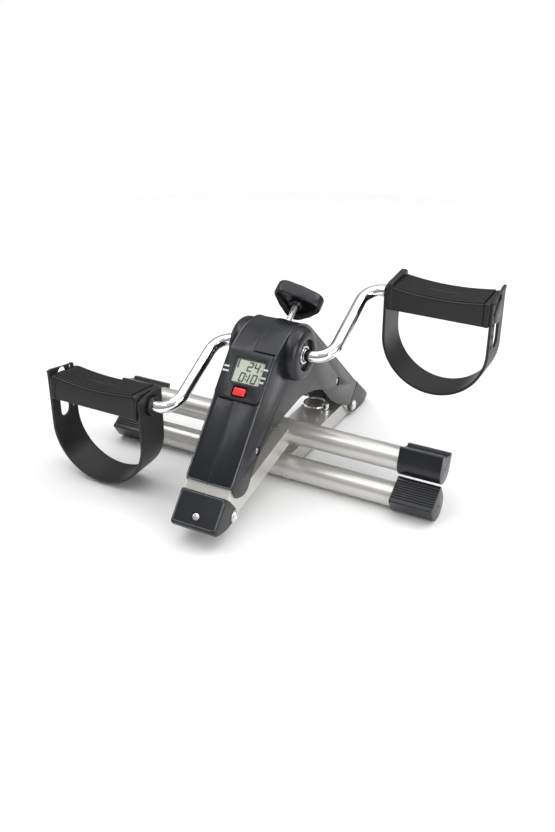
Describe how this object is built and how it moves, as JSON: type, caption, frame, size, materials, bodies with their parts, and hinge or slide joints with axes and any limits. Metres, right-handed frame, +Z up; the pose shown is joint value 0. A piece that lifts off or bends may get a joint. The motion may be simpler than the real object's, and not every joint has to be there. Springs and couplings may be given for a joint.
{
  "type": "pedal exerciser",
  "caption": "Folding pedal exerciser with a bent crank, strapped pedals, a small display, a tension knob and two folding legs on cross tubes.",
  "frame": {"origin": "centre of the folded unit's footprint, on the floor", "axes": "+X to the right along the cross tubes, -Y towards the display side, +Z up"},
  "size_m": [0.4028, 0.3605, 0.2111],
  "materials": {
    "black_plastic": "satin moulded, fine grain",
    "strap_rubber": "matt moulded band",
    "tread_rubber": "matt ribbed",
    "silver_paint": "satin metallic champagne silver",
    "chrome": "mirror",
    "zinc": "bright zinc",
    "cast_iron": "machined",
    "bronze": "sintered",
    "lcd_glass": "clear",
    "lcd": "grey-green reflective",
    "board": "solder mask",
    "red_plastic": "satin red",
    "brake_pad": "felt-faced nylon"
  },
  "bodies": {
    "frame": {"frame_channel": "silver_paint", "housing_left": "black_plastic", "housing_right": "black_plastic", "bearing_cover_left": "black_plastic", "bearing_cover_right": "black_plastic", "crank_bush_left": "bronze", "crank_bush_right": "bronze", "display_bezel": "black_plastic", "display_lens": "lcd_glass", "lcd_panel": "lcd", "circuit_board": "board", "button_cell": "zinc", "foot_cap_front": "black_plastic", "foot_cap_rear": "black_plastic", "foot_screws": "zinc", "pivot_bolt_front": "zinc", "pivot_bolt_rear": "zinc", "pivot_nuts": "zinc", "shell_screws": "zinc", "tension_nut": "zinc", "reed_switch": "brake_pad"},
    "reset_button": {"reset_button": "red_plastic"},
    "crank": {"crank_rod": "chrome", "friction_drum": "cast_iron", "drum_pin": "zinc", "sensor_magnet": "zinc", "spindle_cap_left": "zinc", "spindle_cap_right": "zinc"},
    "brake_shoe": {"brake_shoe": "brake_pad"},
    "tension_knob": {"tension_knob": "black_plastic", "tension_screw": "zinc"},
    "pedal_left": {"pedal_body_left": "black_plastic", "pedal_tread_left": "tread_rubber", "pedal_strap_left": "strap_rubber", "pedal_bush_inner_left": "bronze", "pedal_bush_outer_left": "bronze"},
    "pedal_right": {"pedal_body_right": "black_plastic", "pedal_tread_right": "tread_rubber", "pedal_strap_right": "strap_rubber", "pedal_bush_inner_right": "bronze", "pedal_bush_outer_right": "bronze"},
    "leg_front": {"leg_front": "silver_paint", "cross_tube_front": "silver_paint", "tube_end_front_left": "black_plastic", "tube_end_front_right": "black_plastic", "pin_collar_front": "zinc", "pin_spring_front": "zinc"},
    "lock_pin_front": {"lock_pin_front": "zinc"},
    "pull_ring_front": {"pull_ring_front": "chrome"},
    "leg_rear": {"leg_rear": "silver_paint", "cross_tube_rear": "silver_paint", "tube_end_rear_left": "black_plastic", "tube_end_rear_right": "black_plastic", "pin_collar_rear": "zinc", "pin_spring_rear": "zinc"},
    "lock_pin_rear": {"lock_pin_rear": "zinc"},
    "pull_ring_rear": {"pull_ring_rear": "chrome"}
  },
  "joints": [
    {"name": "crank_spin", "type": "hinge", "parent": "frame", "child": "crank", "pos_m": [0, -0.0182, 0.1435], "axis": [1, 0, 0], "range_deg": [-85, 40]},
    {"name": "reset_press", "type": "slide", "parent": "frame", "child": "reset_button", "axis": [0, 0.7431, -0.6691], "range_m": [0, 0.0015], "stiffness_N_per_m": 300, "springref_m": -0.0005},
    {"name": "brake_slide", "type": "slide", "parent": "frame", "child": "brake_shoe", "axis": [0, 0.8387, 0.5446], "range_m": [-0.0003, 0.0041]},
    {"name": "knob_turn", "type": "hinge", "parent": "brake_shoe", "child": "tension_knob", "pos_m": [0, 0.01599, 0.15924], "axis": [0, 0.8387, 0.5446], "range_deg": [-90, 1440]},
    {"name": "pedal_turn_left", "type": "hinge", "parent": "crank", "child": "pedal_left", "pos_m": [-0.145, -0.10882, 0.09891], "axis": [1, 0, 0], "range_deg": [-40, 85]},
    {"name": "pedal_turn_right", "type": "hinge", "parent": "crank", "child": "pedal_right", "pos_m": [0.145, 0.07242, 0.18809], "axis": [1, 0, 0], "range_deg": [-40, 85]},
    {"name": "leg_rear_fold", "type": "hinge", "parent": "frame", "child": "leg_rear", "pos_m": [0, 0.1368, 0.0124], "axis": [1, 0, 0], "range_deg": [0, 142]},
    {"name": "leg_front_fold", "type": "hinge", "parent": "frame", "child": "leg_front", "pos_m": [0, -0.1448, 0.0242], "axis": [-1, 0, 0], "range_deg": [0, 163.3]},
    {"name": "lock_pull_front", "type": "slide", "parent": "leg_front", "child": "lock_pin_front", "axis": [0, -0.1925, 0.9813], "range_m": [0, 0.004], "stiffness_N_per_m": 600, "springref_m": -0.004},
    {"name": "ring_swing_front", "type": "hinge", "parent": "lock_pin_front", "child": "pull_ring_front", "pos_m": [0.01, -0.10286, 0.04934], "axis": [0, 0.9813, 0.1925], "range_deg": [0, 95]},
    {"name": "lock_pull_rear", "type": "slide", "parent": "leg_rear", "child": "lock_pin_rear", "axis": [0, 0.016, 0.9999], "range_m": [0, 0.004], "stiffness_N_per_m": 600, "springref_m": -0.004},
    {"name": "ring_swing_rear", "type": "hinge", "parent": "lock_pin_rear", "child": "pull_ring_rear", "pos_m": [0.01, 0.09107, 0.02974], "axis": [0, 0.9999, -0.016], "range_deg": [0, 95]}
  ],
  "couplings": [
    {"joint": "pedal_turn_left", "follows": "crank_spin", "ratio": -1},
    {"joint": "pedal_turn_right", "follows": "crank_spin", "ratio": -1},
    {"joint": "leg_front_fold", "follows": "leg_rear_fold", "ratio": 1.15},
    {"joint": "brake_slide", "follows": "knob_turn", "m_per_rad": 0.00015915}
  ]
}
